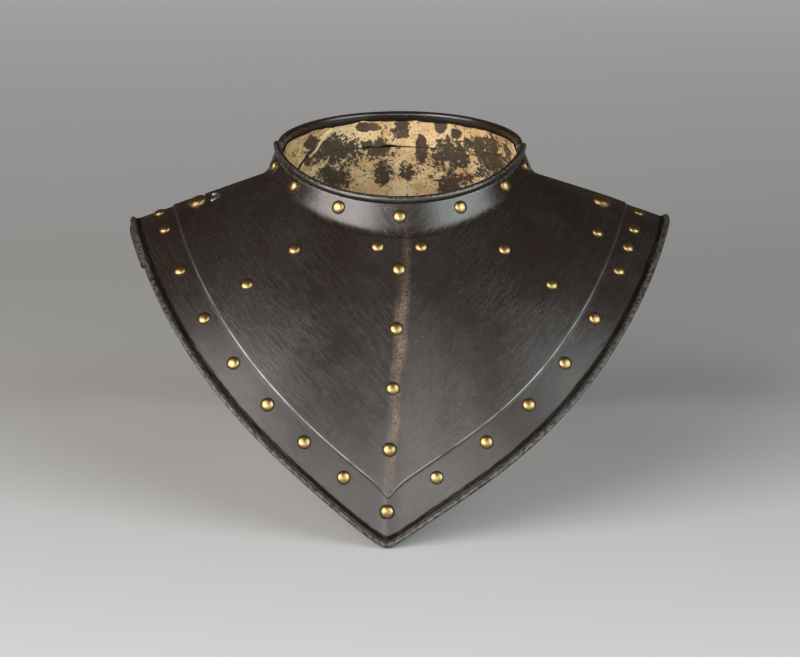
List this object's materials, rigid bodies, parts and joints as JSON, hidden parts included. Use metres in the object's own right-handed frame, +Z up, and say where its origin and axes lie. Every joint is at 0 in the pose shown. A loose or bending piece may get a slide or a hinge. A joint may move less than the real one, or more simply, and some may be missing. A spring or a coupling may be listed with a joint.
{
  "type": "steel gorget",
  "caption": "Plate neck and throat defence with a rolled collar, keeled front, sunken brass-riveted border and a lined back plate that swings on a shoulder rivet.",
  "frame": {"origin": "middle of the gorget's plan, on the surface it stands on", "axes": "+X to the wearer's left, the front plate faces -Y, +Z up through the neck"},
  "size_m": [0.296, 0.243, 0.1886],
  "materials": {
    "steel": "dark polished steel, worn, with fine scratches",
    "brass": "old yellow brass, dirt round each head",
    "leather": "pale worn leather, stained and flaked"
  },
  "bodies": {
    "front": {"front_band_rivet_left_0": "brass", "front_band_rivet_left_1": "brass", "front_band_rivet_left_2": "brass", "front_band_rivet_left_3": "brass", "front_band_rivet_left_4": "brass", "front_band_rivet_left_5": "brass", "front_band_rivet_left_6": "brass", "front_band_rivet_left_7": "brass", "front_band_rivet_left_8": "brass", "front_band_rivet_right_0": "brass", "front_band_rivet_right_1": "brass", "front_band_rivet_right_2": "brass", "front_band_rivet_right_3": "brass", "front_band_rivet_right_4": "brass", "front_band_rivet_right_5": "brass", "front_band_rivet_right_6": "brass", "front_band_rivet_right_7": "brass", "front_collar_rivet_left_1": "brass", "front_collar_rivet_left_2": "brass", "front_collar_rivet_left_3": "brass", "front_collar_rivet_middle_0": "brass", "front_collar_rivet_right_1": "brass", "front_collar_rivet_right_2": "brass", "front_collar_rivet_right_3": "brass", "front_flank_rivet_left_5": "brass", "front_flank_rivet_right_5": "brass", "front_medial_rivet_middle_0": "brass", "front_medial_rivet_middle_1": "brass", "front_medial_rivet_middle_2": "brass", "front_medial_rivet_middle_3": "brass", "front_medial_rivet_middle_4": "brass", "front_middle_rivet_left_7": "brass", "front_middle_rivet_right_7": "brass", "front_plate": "steel", "front_shoulder_rivet_left_8": "brass", "front_upper_rivet_left_6": "brass", "front_upper_rivet_right_6": "brass", "pivot_rivet": "brass"},
    "back": {"back_band_rivet_left_0": "brass", "back_band_rivet_left_1": "brass", "back_band_rivet_left_2": "brass", "back_band_rivet_left_3": "brass", "back_band_rivet_left_4": "brass", "back_band_rivet_right_0": "brass", "back_band_rivet_right_1": "brass", "back_band_rivet_right_2": "brass", "back_band_rivet_right_3": "brass", "back_collar_rivet_left_0": "brass", "back_collar_rivet_left_1": "brass", "back_collar_rivet_left_2": "brass", "back_collar_rivet_right_0": "brass", "back_collar_rivet_right_1": "brass", "back_plate": "steel", "body_lining": "leather", "closing_stud": "brass", "collar_lining": "leather"}
  },
  "joints": [
    {"name": "shoulder_pivot", "type": "hinge", "parent": "front", "child": "back", "pos_m": [0.10909, 0.00611, 0.15265], "axis": [-0.3204, 0.1477, -0.9357], "range_deg": [0, 35]}
  ]
}
